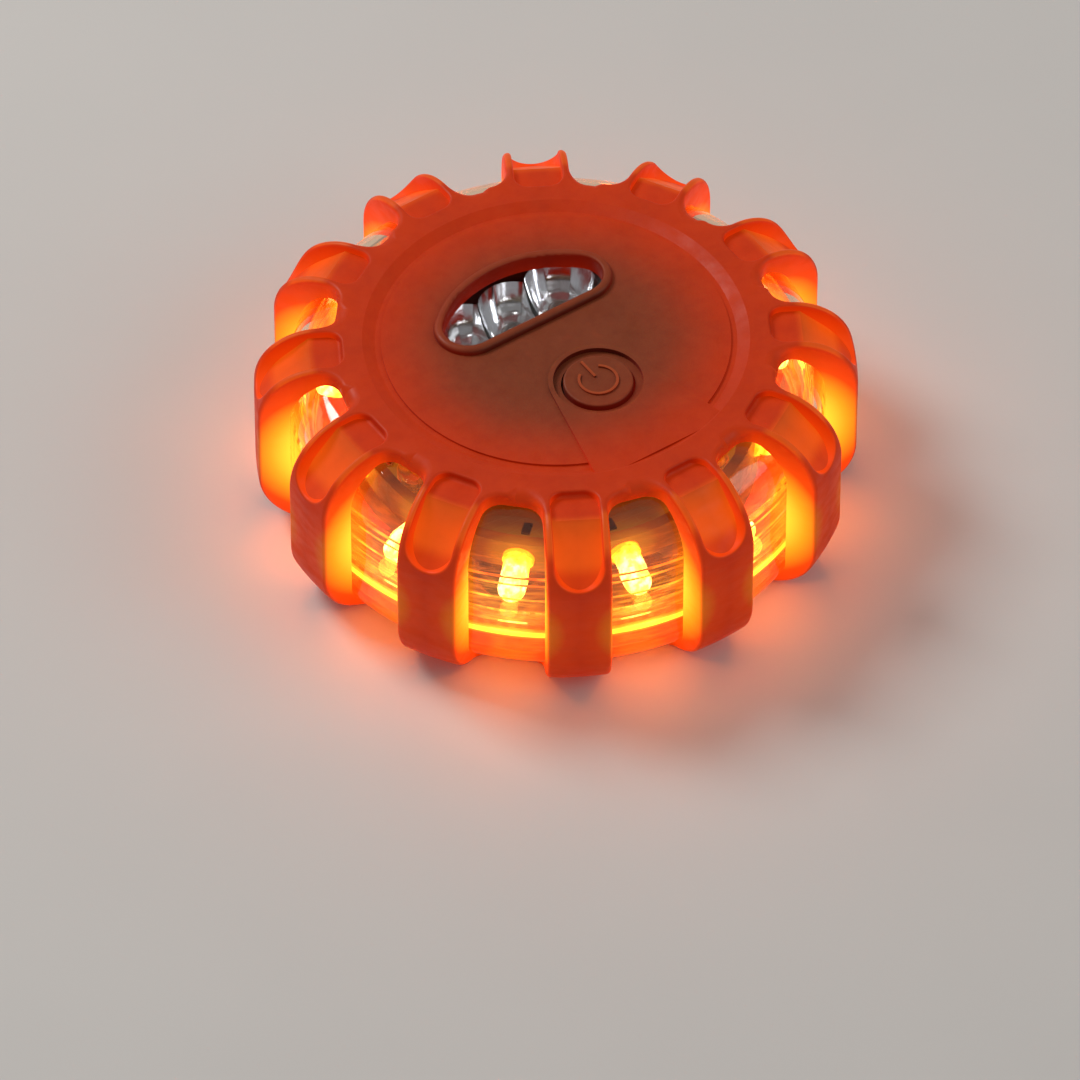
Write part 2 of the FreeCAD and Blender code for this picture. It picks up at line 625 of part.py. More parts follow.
def screw(name, spots, head_r, head, shank_r, length, slot):
    """Cross-head screws. Each spot is (x, y, z of the seat); length < 0 points down."""
    b = body(name + "_one")
    way = 1 if length.value > 0 else -1
    z0, z1 = -way * head, length
    loop = [(0, z0), (head_r, z0), (head_r, 0), (shank_r, 0), (shank_r, z1), (0, z1)]
    turn(b, loop if way > 0 else loop[::-1])
    arms = [(-(head_r * 0.6), -(slot / 2), head_r * 0.6, slot / 2),
            (-(slot / 2), -(head_r * 0.6), slot / 2, head_r * 0.6)]
    low, high = (z0 - 1, z0 + head * 0.5) if way > 0 else (z0 - head * 0.5, z0 + 1)
    for arm in arms:
        cut(b, [box(*arm)], low, high)
    return keep(copies(name, b, [(x.value, y.value, z.value, 0) for x, y, z in spots]))


def ring_spots(radius, count, first, z):
    """count places on a circle, the first at that angle in degrees."""
    turns = [math.radians(first + 360 * k / count) for k in range(count)]
    return [(radius * math.cos(a), radius * math.sin(a), size(z)) for a in turns]


screw("case_screws", ring_spots(s.post_ring, SIZES["post_count"], 0, head_top),
      s.case_screw_head_r, s.case_screw_head, s.case_screw_r,
      s.case_screw_top - head_top, s.screw_slot)

# ---------------------------------------------------------------- button and switch
button = keep(body("power_button"))
flange_top = s.puck_top - s.flange_gap
turn(button, [
    (0, flange_top - s.flange_t), (s.flange_r, flange_top - s.flange_t),
    (s.flange_r, flange_top), (s.button_r, flange_top),
    (s.button_r, s.button_top - s.button_edge, s.button_edge, 1),
    (s.button_r - s.button_edge, s.button_top), (0, s.button_top)], off=(0, 0), depth=-s.button_y)
out_r, in_r = s.mark_r + s.mark_w / 2, s.mark_r - s.mark_w / 2
open_a = math.radians(90 - SIZES["mark_open"])
co, si = math.cos(open_a), math.sin(open_a)
y0 = s.button_y
pad(button, [[(-out_r * co, y0 + out_r * si, out_r, 1), (-out_r, y0, out_r, 1),
              (0, y0 - out_r, out_r, 1), (out_r, y0, out_r, 1), (out_r * co, y0 + out_r * si),
              (in_r * co, y0 + in_r * si, in_r, -1), (in_r, y0, in_r, -1), (0, y0 - in_r, in_r, -1),
              (-in_r, y0, in_r, -1), (-in_r * co, y0 + in_r * si)],
             box(-s.mark_w / 2, y0 + s.mark_bar_near, s.mark_w / 2, y0 + s.mark_bar_far)],
    s.button_top - 0.2, s.button_top + s.mark_h)


def post_at(name, x, y, r, low, high):
    b = keep(body(name))
    pad(b, [["ring", x, y, r]], low, high)
    return b


post_at("button_plunger", 0, s.button_y, s.plunger_r, s.plunger_foot, flange_top - s.flange_t)
post_at("switch_stem", 0, s.button_y, s.stem_r, s.stem_foot, s.plunger_foot)
switch = keep(body("tact_switch"))
h = s.switch_side / 2
pad(switch, [box(-h, y0 - h, h, y0 + h)], board_top, board_top + s.switch_h)
cut(switch, [["ring", 0, s.button_y, s.stem_r + s.button_gap]], board_top + s.switch_base,
    board_top + s.switch_h + 1)

# ---------------------------------------------------------------- board
board = keep(body("main_board"))
pad(board, [["ring", 0, 0, s.board_r]], s.board_z, board_top)
hole = cut(board, [["ring", s.post_ring, 0, s.post_r + s.board_hole_gap]], s.board_z - 1,
           board_top + 1)
around(board, [hole], s.post_count)
fix_x, fix_y = s.board_screw_x, s.cell_pitch / 2
fixings = [(a * fix_x, b * fix_y) for a in (1, -1) for b in (1, -1)]
cut(board, [["ring", x, y, s.door_screw_r + s.screw_play] for x, y in fixings],
    s.board_z - 1, board_top + 1)
screw("board_screws", [(x, y, board_top) for x, y in fixings], s.small_head_r, s.small_head,
      s.door_screw_r, -s.board_screw_len, s.small_slot)

carrier = keep(body("led_carrier"))
turn(carrier, [
    (s.carrier_in_r - s.carrier_shelf, s.board_z - s.carrier_shelf), (s.carrier_in_r, s.carrier_foot),
    (s.carrier_r, s.carrier_foot), (s.carrier_r, s.carrier_top), (s.carrier_in_r, s.carrier_top),
    (s.carrier_in_r, s.board_z), (s.carrier_in_r - s.carrier_shelf, s.board_z)])
slot_w = s.lead_pitch + s.lead_t + s.lead_play * 2
slot_h = s.lead_t + s.lead_play * 2
slot = cut(carrier, [box(-slot_w / 2, led_z - slot_h / 2, slot_w / 2, led_z + slot_h / 2)],
           s.carrier_in_r - 3, s.carrier_r + 2, plane="YZ_Plane")
around(carrier, [slot], s.rib_count)
# the shelf under the board is notched for the posts; the carrier is turned half a rib later
tilt = math.radians(half_pitch)
notch = cut(carrier, [["ring", s.post_ring * math.cos(tilt), -(s.post_ring * math.sin(tilt)),
                       s.post_r + s.board_hole_gap]], s.carrier_foot - 1, s.carrier_top + 1)
around(carrier, [notch], s.post_count)
between = FreeCAD.Placement(V(0, 0, 0), FreeCAD.Rotation(V(0, 0, 1), half_pitch))
carrier.Placement = between

# LEDs lie on their side: turned about X, one made and the rest patterned about Z.
leds = keep(body("amber_leds"))
tip = s.carrier_r + s.led_len
dome = tip - s.led_r
one = leds.newObject("PartDesign::Revolution", "led")
profile = sketch(leds, "XZ_Plane", [[
    (s.carrier_r, 0), (tip, 0, s.led_r, 1), (dome, s.led_r), (s.carrier_r + s.led_rim_t, s.led_r),
    (s.carrier_r + s.led_rim_t, s.led_rim_r), (s.carrier_r, s.led_rim_r)]], (0, led_z, 0))
one.Profile = profile
one.ReferenceAxis = (profile, ["H_Axis"])
one.Angle = 360
around(leds, [one], s.rib_count)
leds.Placement = between

leads = keep(body("amber_led_leads"))
t = s.lead_t / 2
low_y, high_y = s.lead_pitch / 2 - t, s.lead_pitch / 2 + t
wire = pad(leads, [box(low_y, board_top, high_y, board_top + s.lead_t),
                   box(-high_y, board_top, -low_y, board_top + s.lead_t)],
           s.lead_in_r, s.carrier_r, plane="YZ_Plane")
around(leads, [wire], s.rib_count)
leads.Placement = between

resistors = keep(body("resistors"))
half_r = s.resistor_w / 2
chip = pad(resistors, [box(s.resistor_r, -half_r, s.resistor_r + s.resistor_len, half_r)], board_top,
           board_top + s.resistor_h)
around(resistors, [chip], s.rib_count)
resistors.Placement = between

chip = keep(body("controller_chip"))
pad(chip, [box(-s.chip_x / 2, -s.chip_y / 2, s.chip_x / 2, s.chip_y / 2)], board_top + s.chip_lift,
    board_top + s.chip_lift + s.chip_h)
pins = keep(body("chip_pins"))
first_pin = -s.chip_pin_pitch * 3 - s.pin_w / 2
foot = [box(first_pin, -s.chip_y / 2 - s.pin_len, first_pin + s.pin_w, -s.chip_y / 2),
        box(first_pin, s.chip_y / 2, first_pin + s.pin_w, s.chip_y / 2 + s.pin_len)]
legs = pad(pins, foot, board_top, board_top + s.pin_h)
along(pins, [legs], 7, s.chip_pin_pitch * 6)
post_at("capacitor", s.can_x, s.can_y, s.can_r, board_top, board_top + s.can_h)

# ---------------------------------------------------------------- torch lamp
white_one = body("white_led_one")
turn(white_one, [
    (0, 0), (s.led_rim_r, 0), (s.led_rim_r, s.led_rim_t), (s.led_r, s.led_rim_t),
    (s.led_r, s.led_len - s.led_r, s.led_r, 1), (0, s.led_len)])
cups = [(k * s.cup_pitch.value, s.cup_y.value) for k in (-1, 0, 1)]
keep(copies("white_leds", white_one, [(x, y, s.white_led_z.value, 0) for x, y in cups]))
white_lead = body("white_lead_one")
pad(white_lead, [box(low_y, -t, high_y, t), box(-high_y, -t, -low_y, t)], board_top,
    s.white_led_z)
keep(copies("white_led_leads", white_lead, [(x, y, 0, 0) for x, y in cups]))

reflector = keep(body("reflector"))
pad(reflector, [d_shape(s.plate_grow)], lens_under - s.plate_t, lens_under)
wall_r = s.cup_hole_r + s.cup_wall
cup = turn(reflector, [
    (0, s.cup_foot), (wall_r, s.cup_foot, s.cup_curve, 1), (s.cup_rim_r + s.cup_wall, lens_under),
    (0, lens_under)], off=(-s.cup_pitch, 0), depth=-s.cup_y)
along(reflector, [cup], 3, s.cup_pitch * 2)
hollow = turn(reflector, [
    (0, s.cup_foot - 1), (s.cup_hole_r, s.cup_foot - 1), (s.cup_hole_r, s.cup_foot, s.cup_curve, 1),
    (s.cup_rim_r, lens_under), (s.cup_rim_r, lens_under + 1), (0, lens_under + 1)],
    off=(-s.cup_pitch, 0), depth=-s.cup_y, kind="Groove")
along(reflector, [hollow], 3, s.cup_pitch * 2)

# ---------------------------------------------------------------- batteries
tray = keep(body("battery_tray"))
tray_x, tray_y = s.bay_x + s.bay_wall, s.bay_y + s.bay_wall
pad(tray, [box(-tray_x, -tray_y, tray_x, tray_y)], base_top, s.board_z)
cut(tray, [box(-s.bay_x, -s.bay_y, s.bay_x, s.bay_y)], base_top - 1, s.bay_roof)
# its corners stay clear of the shelf that the board lies on
shelf_r = s.carrier_in_r - s.carrier_shelf - s.tray_gap
cut(tray, [["ring", 0, 0, shelf_r], ["ring", 0, 0, shelf_r * 1.5]], base_top - 1, s.board_z + 1)
cut(tray, [["ring", x, y, s.door_screw_r] for x, y in fixings], s.bay_roof - 1, s.board_z + 1)
clear = s.door_screw_r + s.boss_wall + s.head_play
cut(tray, door_rings(clear), base_top - 1, base_top + s.boss_high + s.head_play)

cell_z = door_top + s.cell_r
cell_one = body("cell_one")
can = s.cell_len / 2 - s.nub_len
end = -(s.cell_len / 2)
one = cell_one.newObject("PartDesign::Revolution", "cell")
profile = sketch(cell_one, "XZ_Plane", [[
    (end, 0), (s.cell_len / 2, 0), (s.cell_len / 2, s.nub_r), (can, s.nub_r),
    (can, s.cell_r - s.cell_edge, s.cell_edge, 1), (can - s.cell_edge, s.cell_r),
    (end + s.cell_edge, s.cell_r, s.cell_edge, 1), (end, s.cell_r - s.cell_edge)]])
one.Profile = profile
one.ReferenceAxis = (profile, ["H_Axis"])
one.Angle = 360
cell_x = (s.bay_x - s.contact_t - s.cell_len / 2).value
rows = [(-1, 0), (0, 180), (1, 0)]
keep(copies("battery_cells", cell_one, [
    (cell_x if a == 0 else -cell_x, k * s.cell_pitch.value, cell_z.value, a) for k, a in rows]))

plates = keep(body("contact_plates"))
for k in (-1, 0, 1):
    y = s.cell_pitch * k
    for x0, x1 in ((s.bay_x - s.contact_t, s.bay_x), (-s.bay_x, s.contact_t - s.bay_x)):
        pad(plates, [box(x0, y - s.contact_half, x1, y + s.contact_half)],
            base_top + s.contact_lift, base_top + s.contact_lift + s.contact_half * 2)

# springs at the flat ends: a coil along X between the plate and the cell
coil = doc.addObject("Part::Helix", "spring_path")
bind(coil, "Radius", s.spring_r)
bind(coil, "Height", s.spring_len - s.spring_wire * 2)
bind(coil, "Pitch", (s.spring_len - s.spring_wire * 2) / s.spring_turns)
wire_circle = doc.addObject("Part::Circle", "spring_wire")
bind(wire_circle, "Radius", s.spring_wire)
wire_circle.Placement = FreeCAD.Placement(V(s.spring_r.value, 0, 0), FreeCAD.Rotation(V(1, 0, 0), 90))
bind(wire_circle, "Placement.Base.x", s.spring_r)
spring_one = doc.addObject("Part::Sweep", "spring_one")
spring_one.Sections = [wire_circle]
spring_one.Spine = (coil, [])
spring_one.Solid = True
spring_one.Frenet = True
springs = doc.addObject("Part::Compound", "contact_springs")
springs.Label = "contact_springs"
links = []
spring_x = (s.bay_x - s.contact_t - s.spring_wire).value
for k, a in rows:
    link = doc.addObject("App::Link", "spring_copy")
    link.LinkedObject = spring_one
    link.LinkTransform = True
    side = -1 if a == 0 else 1
    link.Placement = FreeCAD.Placement(
        V(side * spring_x, k * s.cell_pitch.value, cell_z.value),
        FreeCAD.Rotation(V(0, 1, 0), -90 * side))
    links.append(link)
springs.Links = links
keep(springs)

# ---------------------------------------------------------------- door, magnet, hook
door = keep(body("battery_door"))
fit = s.door_fit
pad(door, [round_box(s.door_x - fit, s.door_y - fit, s.door_corner - fit)], s.puck_floor, door_top)
cup_low = s.magnet_low + s.cup_ring_up
pad(door, [["ring", 0, 0, s.magnet_r + s.cup_ring_t]], cup_low, s.puck_floor + 0.2)
cut(door, [["ring", 0, 0, s.magnet_r + s.magnet_gap]], cup_low - 1, s.puck_floor)
hole_r = s.door_screw_r + s.screw_play
cut(door, door_rings(hole_r), cup_low, door_top + 1)
rubber = keep(body("door_seal"))
pad(rubber, [round_box(s.door_x - fit, s.door_y - fit, s.door_corner - fit)], door_top, ledge)
cut(rubber, [round_box(s.bay_x + 0.6, s.bay_y + 0.4, 1.0)], door_top - 1, ledge + 1)
cut(rubber, door_rings(hole_r), door_top - 1, ledge + 1)
seat = s.puck_floor
screw("door_screws", [(x, y, seat) for x, y in door_spots],
      s.door_head_r, s.door_head, s.door_screw_r, s.door_screw_len, s.door_slot)
post_at("magnet", 0, 0, s.magnet_r, s.magnet_low, s.puck_floor)

hook = keep(body("hook"))
high = s.hook_low + s.hook_t
eye_out = s.hook_eye_r + s.hook_bar
pad(hook, [["ring", s.hook_y, s.hook_axis_z, s.hook_barrel_r]], -s.hook_barrel_half,
    s.hook_barrel_half, plane="YZ_Plane")
shank = s.hook_bar
mouth_low = s.hook_eye_y - s.hook_mouth_low
pad(hook, [box(-shank, s.hook_y, shank, s.hook_eye_y - s.hook_eye_r - 0.8)], s.hook_low, high)
pad(hook, [["ring", 0, s.hook_eye_y, eye_out]], s.hook_low, high)
cut(hook, [["ring", 0, s.hook_eye_y, s.hook_eye_r]], s.hook_low - 1, high + 1)
cut(hook, [box(0, mouth_low, eye_out + 1, mouth_low + s.hook_mouth)],
    s.hook_low - 1, high + 1)
cut(hook, [["ring", s.hook_y, s.hook_axis_z, s.hook_bore_r]], -s.hook_barrel_half - 1,
    s.hook_barrel_half + 1, plane="YZ_Plane")
pin = keep(body("hook_pin"))
pad(pin, [["ring", s.hook_y, s.hook_axis_z, s.hook_pin_r]], -ear_out, ear_out, plane="YZ_Plane")

doc.recompute()
bad = [o.Label + " " + o.getStatusString() for o in doc.Objects if "Invalid" in o.State or "Error" in o.State]
for label, obj in made.items():
    shape = obj.Shape
    if shape.isNull() or not shape.isValid() or not shape.Solids:
        bad.append(label)
if bad:
    raise RuntimeError("these did not come out: " + ", ".join(bad))
for label, obj in made.items():
    obj.Shape.exportStep(f"parts/{label}.step")
    print(label, len(obj.Shape.Solids), round(obj.Shape.Volume, 1))
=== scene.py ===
import math

import bmesh
import bpy
from mathutils import Euler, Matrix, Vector


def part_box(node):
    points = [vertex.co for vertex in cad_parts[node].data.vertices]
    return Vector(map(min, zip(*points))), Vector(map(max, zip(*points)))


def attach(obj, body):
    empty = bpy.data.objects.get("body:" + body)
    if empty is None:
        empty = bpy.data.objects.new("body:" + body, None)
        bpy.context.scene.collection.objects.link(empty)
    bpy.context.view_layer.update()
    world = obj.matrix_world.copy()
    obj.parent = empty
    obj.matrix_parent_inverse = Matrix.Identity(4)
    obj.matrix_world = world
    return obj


bl_info = {
    "name": "LED safety flare finishes",
    "version": (1, 0, 0),
    "blender": (4, 5, 0),
    "location": "3D View > Sidebar > Flare",
    "description": "Finishes, small parts and studio for a ribbed LED safety flare",
    "category": "Object",
}

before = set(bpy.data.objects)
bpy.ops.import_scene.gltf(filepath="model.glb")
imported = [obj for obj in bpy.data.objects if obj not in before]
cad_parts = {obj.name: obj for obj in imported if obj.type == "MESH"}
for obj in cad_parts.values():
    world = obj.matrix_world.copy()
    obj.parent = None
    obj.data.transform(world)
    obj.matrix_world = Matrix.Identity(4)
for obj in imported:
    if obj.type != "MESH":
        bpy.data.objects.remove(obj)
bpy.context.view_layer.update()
BODY = "case"

LAMPS = 12                             # amber lamps round the edge, one in each window
LAMP_STEP = 2 * math.pi / LAMPS
FIRST_LAMP = LAMP_STEP / 2
MERGE = 0.000001                       # points nearer than this are one point
BLACK = (0.0, 0.0, 0.0)
WARM_WHITE = (1.0, 0.97, 0.93)


def reach(node):
    """Least and greatest distance of a node from the upright axis, and its lowest and highest point."""
    points = [v.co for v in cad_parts[node].data.vertices]
    out = [p.xy.length for p in points]
    up = [p.z for p in points]
    return min(out), max(out), min(up), max(up)


LED_IN, LED_TIP, LED_LOW, LED_HIGH = reach("amber_leds")
GLOW_R = (LED_IN + LED_TIP * 2) / 3    # the brightest point of a lamp, from the upright axis
GLOW_Z = (LED_LOW + LED_HIGH) / 2
LEAD_IN = reach("amber_led_leads")[0]
# The chip's pins reach three lead spacings from its middle, so a third of that is close to half
# the distance between a lamp's two leads.
LEAD_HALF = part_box("chip_pins")[1].x / 3.0
BOARD_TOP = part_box("main_board")[1].z
PUCK_IN = reach("case_seal")[1]
PUCK_R = reach("base_shell")[1]
SPLIT = reach("lens_shell")[2]
RING_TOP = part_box("rubber_jacket")[1].z
RIB_R = reach("rubber_jacket")[1]
CUP_LOW, CUP_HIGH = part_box("reflector")
WHITE_LOW, WHITE_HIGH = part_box("white_leds")
CELL_LOW, CELL_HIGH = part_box("battery_cells")


def length(name, text, default):
    """A size in metres that a user may change."""
    return bpy.props.FloatProperty(
        name=name, description=text, default=default, unit="LENGTH", precision=5)


def share(name, text, default, high=1.0):
    """A plain number from 0 to high that a user may change."""
    return bpy.props.FloatProperty(
        name=name, description=text, default=default, min=0.0, max=high)


def tint(name, text, default):
    """A colour that a user may change."""
    return bpy.props.FloatVectorProperty(
        name=name, description=text, default=default, size=3, subtype="COLOR", min=0.0, max=1.0)


class FlareRubber(bpy.types.PropertyGroup):
    """The soft orange jacket and its button."""
    skin: tint("Ring", "Rubber over the ring and the ribs", (0.43, 0.031, 0.0015))
    # Painted shade: deepens upright faces, which the light from above does not reach.
    side: tint("Sides", "Deepens the ring's colour on upright faces", (1.0, 0.36, 0.22))
    # Painted shade: this brown stands in for the dimmer light over the middle of the top.
    floor: tint("Floor", "Thin rubber in the middle of the top", (0.225, 0.043, 0.013))
    # Painted shade: darkens the walls of the steps in the top.
    painted_step_shade: tint("Creases", "Darkens the walls of the steps in the top", (0.50, 0.34, 0.28))
    hollow: tint("Scoops", "Light through the thin rubber of the scoops", (0.16, 0.042, 0.002))
    # The same colour also paints a highlight on the top of the raised sign.
    dust_and_sign_highlight: tint("Dust", "Pale bloom that handling leaves", (0.50, 0.075, 0.016))
    grain: length("Grain", "Width of the matt grain", 0.00045)
    depth: length("Grain depth", "Height of the matt grain", 0.000022)
    roughness: share("Roughness", "Dullness of the rubber", 0.52)
    glow: share("Glow", "Brightness of the lamp light inside the rubber", 1.0, 10.0)


class FlareClear(bpy.types.PropertyGroup):
    """The clear puck."""
    lens: tint("Lens", "Clear plastic of the upper shell", (1.0, 0.84, 0.64))
    base: tint("Base", "Clear plastic of the lower shell", (1.0, 0.72, 0.42))
    glow: share("Glow", "Brightness of the light caught in the plastic", 1.0, 10.0)
    prism: length("Prism ring", "Radius of the moulded rings inside the wall", 0.00022)


class FlareLamps(bpy.types.PropertyGroup):
    """Amber lamps round the edge and the white torch lamps."""
    core: tint("Core", "Middle of a lit amber lamp", (1.0, 0.96, 0.46))
    body: tint("Body", "Body of a lit amber lamp", (1.0, 0.52, 0.03))
    strength: share("Strength", "Brightness of the amber lamps", 4.2, 50.0)
    phosphor: tint("Phosphor", "Unlit dot in a white lamp", (0.85, 0.62, 0.06))
    solder: length("Solder", "Radius of a solder joint", 0.0009)


class FlareInside(bpy.types.PropertyGroup):
    """Board, batteries and the fittings underneath."""
    laminate: tint("Laminate", "Solder mask on the board", (0.015, 0.11, 0.045))
    copper: tint("Track", "Mask where it covers a track", (0.03, 0.19, 0.07))
    sleeve: tint("Cell sleeve", "Printed sleeve of a cell", (0.035, 0.045, 0.075))
    collar: tint("Cell collar", "Band at the positive end", (0.62, 0.30, 0.10))
    plastic: tint("Plastic", "Moulded black plastic", (0.022, 0.021, 0.021))


class FlareStage(bpy.types.PropertyGroup):
    """Floor, light and camera."""
    floor: tint("Floor", "Pale studio floor", (0.62, 0.61, 0.60))
    key: share("Key light", "Power of the large soft light", 9.0, 500.0)
    fill: share("Fill light", "Power of the second soft light", 2.5, 500.0)
    sky: share("Surroundings", "Brightness of the room", 0.30, 10.0)
    spill: share("Spill", "Power of the amber light on the floor", 0.0045, 5.0)
    turn: bpy.props.FloatProperty(
        name="Turn", description="Camera's place round the flare",
        default=math.radians(-34.5), subtype="ANGLE")
    tilt: bpy.props.FloatProperty(
        name="Height", description="Camera's angle above the floor",
        default=math.radians(46.5), subtype="ANGLE")
    away: length("Distance", "Camera's distance from the aim point", 2.123)
    lens: bpy.props.FloatProperty(
        name="Lens", description="Focal length", default=388.0, unit="CAMERA")
    aim: bpy.props.FloatVectorProperty(
        name="Aim", description="Point the camera looks at", size=3,
        default=(-0.01294, -0.01369, 0.0046), subtype="TRANSLATION", unit="LENGTH")


class Finish:
    """A material put together one node at a time."""

    def __init__(self, name, **sockets):
        self.material = bpy.data.materials.new(name)
        self.material.use_nodes = True
        self.tree = self.material.node_tree
        self.skin = self.tree.nodes["Principled BSDF"]
        self.steps = 0
        self.at = self.add("TexCoord", out="Object")
        self.facing = self.tree.nodes[-1].outputs["Normal"]
        self.wear(**sockets)

    def wear(self, **sockets):
        """Sets or feeds the shader's sockets, named with underscores."""
        for name, value in sockets.items():
            self.feed(self.skin.inputs[name.replace("_", " ")], value)

    def feed(self, socket, value):
        """Links an output to a socket, or sets the socket to a value."""
        if isinstance(value, bpy.types.NodeSocket):
            self.tree.links.new(value, socket)
        elif socket.type == "RGBA":
            socket.default_value = (*value, 1.0) if len(value) == 3 else value
        else:
            socket.default_value = value

    def add(self, kind, sockets=None, out=0, **settings):
        """Adds a shader node, feeds its sockets and gives back one of its outputs."""
        node = self.tree.nodes.new("ShaderNode" + kind)
        row, column = divmod(self.steps, 7)
        node.location = (-1400 + 180 * column, 500 - 220 * row)
        self.steps += 1
        for name, value in settings.items():
            setattr(node, name, value)
        for name, value in (sockets or {}).items():
            self.feed(node.inputs[name], value)
        return node.outputs[out]

    def math(self, kind, a, b=0.0):
        """One step of arithmetic."""
        return self.add("Math", {0: a, 1: b}, operation=kind)

    def fade(self, value, start, end, low=0.0, high=1.0):
        """Runs from low to high as value goes from start to end."""
        return self.add("MapRange", {0: value, 1: start, 2: end, 3: low, 4: high},
                        interpolation_type="SMOOTHSTEP")

    def span(self, value, start, end):
        """Runs evenly from 0 to 1 as value goes from start to end."""
        return self.add("MapRange", {0: value, 1: start, 2: end})

    def mix(self, amount, first, second, kind="MIX"):
        """Goes from the first colour to the second, or blends them, by amount."""
        return self.add("Mix", {0: amount, 6: first, 7: second}, out=2, data_type="RGBA",
                        blend_type=kind)

    def dim(self, colour, amount):
        """A colour times an amount."""
        grey = self.add("CombineColor", {0: amount, 1: amount, 2: amount})
        return self.mix(1.0, colour, grey, "MULTIPLY")

    def ramp(self, value, *stops):
        """A colour band. Each stop is a spot from 0 to 1 and a colour, in order."""
        out = self.add("ValToRGB", {0: value})
        band = out.node.color_ramp
        for spot, _ in stops[1:-1]:
            band.elements.new(spot)
        for element, (spot, colour) in zip(band.elements, stops):
            element.position = spot
            element.color = (*colour, 1.0)
        return out

    def noise(self, size, detail=3.0, at=None):
        """Cloudy pattern with features about size metres across."""
        return self.add("TexNoise", {"Vector": at or self.at, "Scale": 1.0 / size, "Detail": detail})

    def cells(self, size):
        """Rounded cells about size metres across."""
        return self.add("TexVoronoi", {"Vector": self.at, "Scale": 1.0 / size})

    def stretch(self, x, y, z):
        """The place with each axis scaled, for a pattern with a direction."""
        return self.add("Mapping", {"Vector": self.at, "Scale": (x, y, z)})

    def axes(self, vector=None):
        """The three parts of a vector, or of the place."""
        return tuple(self.add("SeparateXYZ", {0: vector or self.at}).node.outputs)

    def size_of(self, x, y, z=0.0):
        """Length of a vector from its parts."""
        joined = self.add("CombineXYZ", {0: x, 1: y, 2: z})
        return self.add("VectorMath", {0: joined}, out=1, operation="LENGTH")

    def relief(self, height, depth):
        """Bump of a pattern whose full height is depth metres."""
        self.wear(Normal=self.add("Bump", {"Height": height, "Distance": depth, "Strength": 1.0}))

    def paint_lamp_light(self, strength, far=0.018):
        """Painted amber lamp light: emission standing in for light falling on something inside the puck.
        """
        gap = self.lamp_gap()[0]
        light = self.ramp(self.fade(gap, 0.003, far),
                          (0.0, (1.0, 0.36, 0.03)), (0.4, (0.4, 0.07, 0.004)), (1.0, BLACK))
        self.wear(Emission_Color=light, Emission_Strength=strength)

    def lamp_gap(self):
        """Distance to the nearest amber lamp, distance from the upright axis, and height."""
        x, y, z = self.axes()
        out = self.size_of(x, y)
        turns = self.math("MULTIPLY", self.math("ARCTAN2", y, x), 1 / LAMP_STEP)
        slant = self.math("ABSOLUTE", self.math("SUBTRACT", self.math("FRACT", turns), 0.5))
        slant = self.math("MULTIPLY", slant, LAMP_STEP)
        across = self.math("MULTIPLY", out, self.math("SINE", slant))
        along = self.math("MULTIPLY", out, self.math("COSINE", slant))
        along = self.math("SUBTRACT", along, GLOW_R)
        up = self.math("SUBTRACT", z, GLOW_Z)
        return self.size_of(across, along, up), out, z


def dress(finish, *nodes):
    """Puts a finish on CAD nodes."""
    for node in nodes:
        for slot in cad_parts[node].material_slots:
            slot.material = finish.material


